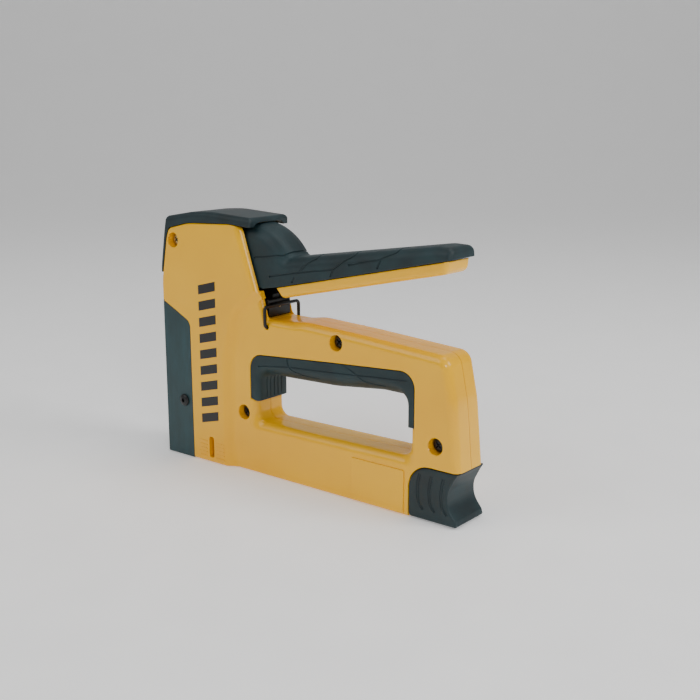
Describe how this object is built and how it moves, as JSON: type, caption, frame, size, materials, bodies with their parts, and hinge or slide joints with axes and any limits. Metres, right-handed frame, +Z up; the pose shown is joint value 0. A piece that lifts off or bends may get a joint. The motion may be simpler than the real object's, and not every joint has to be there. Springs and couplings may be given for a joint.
{
  "type": "staple gun",
  "caption": "Hand tacker with a squeeze lever over the nose, a lined hand hole in its flat body, a wire lever lock and a magazine that pulls out at the back.",
  "frame": {"origin": "middle of the length, on the flat base that the tool stands on", "axes": "-X towards the nose, +Z up towards the lever, -Y the left half of the body"},
  "size_m": [0.19, 0.033, 0.1349],
  "materials": {
    "yellow_paint": "gloss enamel on die casting",
    "black_nylon": "moulded, fine grain",
    "black_rubber": "moulded, satin",
    "blackened_steel": "black oxide, satin",
    "bright_steel": "ground",
    "zinc_steel": "zinc plated",
    "urethane": "cast"
  },
  "bodies": {
    "body": {"housing_left": "yellow_paint", "housing_right": "yellow_paint", "top_cap": "black_nylon", "nose_plate": "blackened_steel", "nose_screw_left": "blackened_steel", "nose_screw_right": "blackened_steel", "housing_screw_front": "blackened_steel", "housing_screw_top": "blackened_steel", "housing_screw_rear": "blackened_steel", "cap_screw": "zinc_steel", "grip_liner": "black_rubber", "power_spring": "bright_steel", "spring_seat": "bright_steel", "bumper": "urethane", "lever_return_spring": "bright_steel", "pivot_bracket": "blackened_steel", "pivot_pin": "bright_steel", "magazine_channel": "bright_steel", "staple_strip": "zinc_steel"},
    "lever": {"lever_grip": "black_rubber", "lever_handle": "yellow_paint", "lever_arm": "blackened_steel", "arm_rivet_front": "bright_steel", "arm_rivet_rear": "bright_steel"},
    "plunger": {"plunger": "bright_steel", "driver_blade": "bright_steel", "blade_rivet": "bright_steel"},
    "bail": {"lock_bail": "blackened_steel"},
    "magazine": {"magazine_rail": "bright_steel", "magazine_knob": "black_rubber", "knob_pin": "bright_steel", "pusher_spring": "bright_steel"},
    "pusher": {"pusher": "bright_steel"}
  },
  "joints": [
    {"name": "lever_hinge", "type": "hinge", "parent": "body", "child": "lever", "pos_m": [-0.0275, 0, 0.09], "axis": [0, 1, 0], "range_deg": [0, 17], "stiffness_Nm_per_rad": 2, "springref_deg": -17.19, "deforming": ["lever_return_spring"]},
    {"name": "plunger_slide", "type": "slide", "parent": "body", "child": "plunger", "axis": [0, 0, 1], "range_m": [0, 0.0158], "deforming": ["power_spring"]},
    {"name": "bail_hinge", "type": "hinge", "parent": "body", "child": "bail", "pos_m": [-0.0208, 0, 0.079], "axis": [0, 1, 0], "range_deg": [0, 60]},
    {"name": "magazine_slide", "type": "slide", "parent": "body", "child": "magazine", "axis": [1, 0, 0], "range_m": [0, 0.11]},
    {"name": "pusher_slide", "type": "slide", "parent": "magazine", "child": "pusher", "axis": [1, 0, 0], "range_m": [0, 0.051], "stiffness_N_per_m": 40, "springref_m": -0.05, "deforming": ["pusher_spring"]}
  ],
  "couplings": [
    {"joint": "plunger_slide", "follows": "lever_hinge", "m_per_rad": 0.05291}
  ]
}
